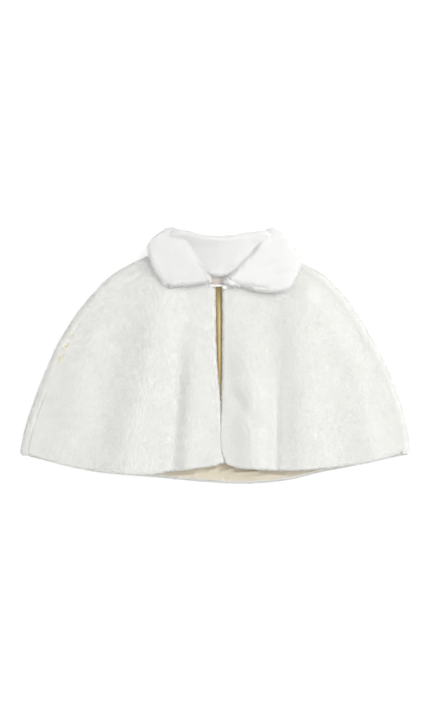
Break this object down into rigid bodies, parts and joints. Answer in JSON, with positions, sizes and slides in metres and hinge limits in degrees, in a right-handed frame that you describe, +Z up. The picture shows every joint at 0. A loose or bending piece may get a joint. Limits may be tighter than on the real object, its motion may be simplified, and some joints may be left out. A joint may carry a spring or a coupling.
{
  "type": "faux-fur cape laid flat",
  "caption": "Child's short white faux-fur cape with a rounded turn-over collar, satin lining and a neck hook and thread eye, laid flat on its back.",
  "frame": {"origin": "on the resting surface, under the middle of the laid-out cape", "axes": "+X to the wearer's left across the cape, +Y from the hem to the neck, +Z up from the resting surface"},
  "size_m": [0.472, 0.3088, 0.039],
  "materials": {
    "white_fur": "short plush pile",
    "champagne_satin": "satin",
    "blush_tape": "woven tape",
    "white_thread": "thread"
  },
  "bodies": {
    "root": {"back": "white_fur", "front_right": "white_fur", "front_left": "white_fur", "collar_upper": "white_fur", "collar_under": "white_fur", "lining_back": "champagne_satin", "lining_front_right": "champagne_satin", "lining_front_left": "champagne_satin", "label": "blush_tape", "hook": "white_thread", "eye": "white_thread"}
  },
  "joints": []
}
